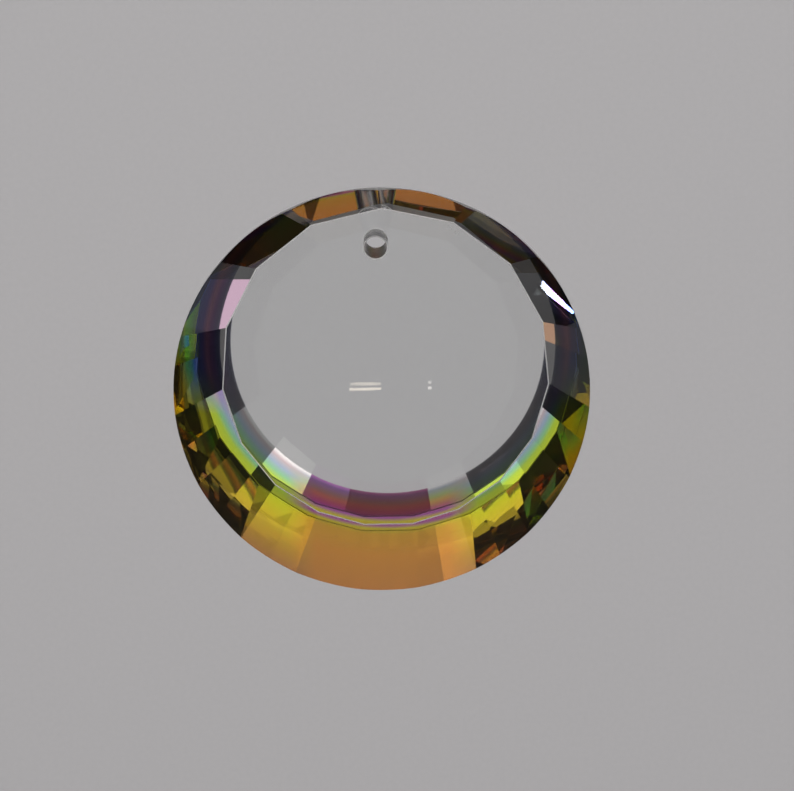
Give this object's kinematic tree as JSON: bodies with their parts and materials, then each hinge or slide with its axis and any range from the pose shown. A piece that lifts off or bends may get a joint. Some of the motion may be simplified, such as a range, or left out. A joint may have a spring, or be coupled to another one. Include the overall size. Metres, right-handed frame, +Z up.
{
  "type": "crystal suncatcher",
  "caption": "Round faceted crystal disc with an off-centre flat table, an off-centre back window ringed by coated facets, and a drilled hanging hole.",
  "frame": {"origin": "middle of the hanging hole, half way through the disc's thickness", "axes": "+Z up, from the disc's middle towards the hanging hole; the faceted front faces -Y; +X to the right as seen from the front"},
  "size_m": [0.038, 0.0044, 0.038],
  "materials": {
    "crystal": "polished clear crystal, with an iridescent coating on the back facets"
  },
  "bodies": {
    "root": {"crystal": "crystal"}
  },
  "joints": []
}
